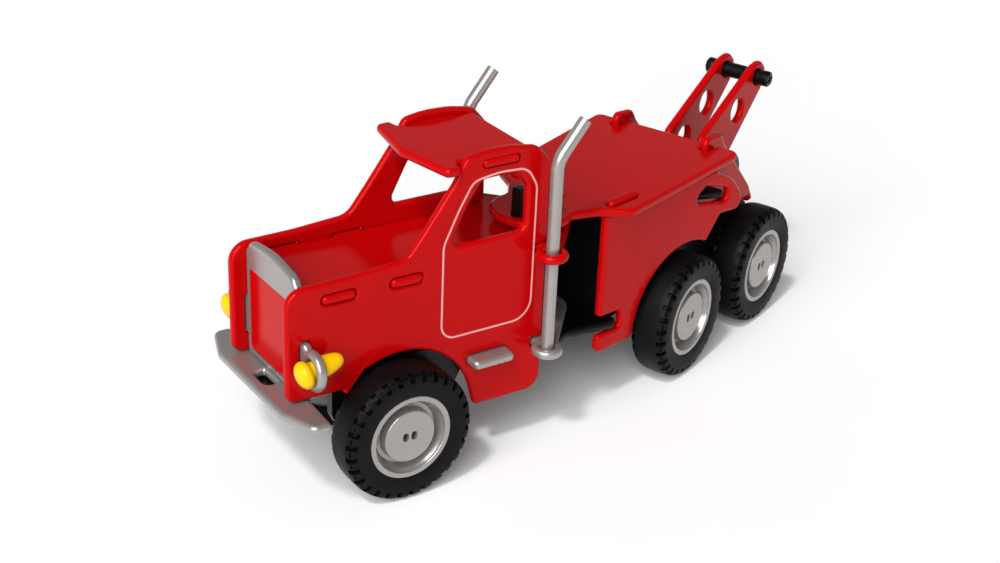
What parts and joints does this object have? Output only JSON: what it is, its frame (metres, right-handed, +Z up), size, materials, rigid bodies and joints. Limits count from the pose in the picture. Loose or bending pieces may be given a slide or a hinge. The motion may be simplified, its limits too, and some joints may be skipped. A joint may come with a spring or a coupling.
{
  "type": "toy tow truck",
  "caption": "Slot-together toy tow truck with a cab and a swinging rear unit, a flat deck, six treaded wheels on three axles and a tilting tow boom.",
  "frame": {"origin": "centre of the bounding box in plan, at the ground under the tyres", "axes": "+Z up, the cab's nose towards -Y, the cab's left side towards +X"},
  "size_m": [0.1738, 0.3777, 0.1825],
  "materials": {
    "red": "glossy moulded red",
    "black": "satin black",
    "silver": "satin silver paint",
    "yellow": "glossy yellow",
    "tyre": "matte black moulded tread"
  },
  "bodies": {
    "cab": {"hood_plate": "red", "roof_plate": "red", "grille_shell": "silver", "grille_insert": "red", "floor_plate": "silver", "nose_plate": "black", "swing_pin": "black", "cab_side_left": "red", "cab_side_right": "red", "front_hanger_left": "black", "front_hanger_right": "black", "headlight_left": "yellow", "headlight_right": "yellow", "exhaust_stack_left": "silver", "exhaust_stack_right": "silver"},
    "rear_unit": {"deck_plate": "red", "tongue_peg": "black", "bed_plate": "black", "cross_plate": "black", "bulkhead": "black", "fender_left": "red", "fender_right": "red", "rear_side_left": "red", "rear_side_right": "red", "rear_hanger_left": "black", "rear_hanger_right": "black"},
    "boom": {"boom_arm_left": "red", "boom_arm_right": "red", "boom_top_rod": "black", "boom_pivot_rod": "black"},
    "front_wheels": {"front_axle": "black", "front_rim_left": "silver", "front_rim_right": "silver", "front_tyre_left": "tyre", "front_tyre_right": "tyre"},
    "mid_wheels": {"mid_axle": "black", "mid_rim_left": "silver", "mid_rim_right": "silver", "mid_tyre_left": "tyre", "mid_tyre_right": "tyre"},
    "rear_wheels": {"rear_axle": "black", "rear_rim_left": "silver", "rear_rim_right": "silver", "rear_tyre_left": "tyre", "rear_tyre_right": "tyre"}
  },
  "joints": [
    {"name": "swing", "type": "hinge", "parent": "cab", "child": "rear_unit", "pos_m": [0.0329, -0.0157, 0.1194], "axis": [0, 0, 1], "range_deg": [-45.3, 2]},
    {"name": "boom_tilt", "type": "hinge", "parent": "rear_unit", "child": "boom", "pos_m": [-0.02244, 0.12372, 0.091], "axis": [0.9295, 0.3689, 0], "range_deg": [-30, 45]},
    {"name": "front_axle_spin", "type": "hinge", "parent": "cab", "child": "front_wheels", "pos_m": [0.0329, -0.126, 0.0353], "axis": [1, 0, 0], "continuous": true},
    {"name": "mid_axle_spin", "type": "hinge", "parent": "rear_unit", "child": "mid_wheels", "pos_m": [0.00372, 0.05782, 0.0353], "axis": [0.9295, 0.3689, 0], "continuous": true},
    {"name": "rear_axle_spin", "type": "hinge", "parent": "rear_unit", "child": "rear_wheels", "pos_m": [-0.02794, 0.13757, 0.0353], "axis": [0.9295, 0.3689, 0], "continuous": true}
  ]
}
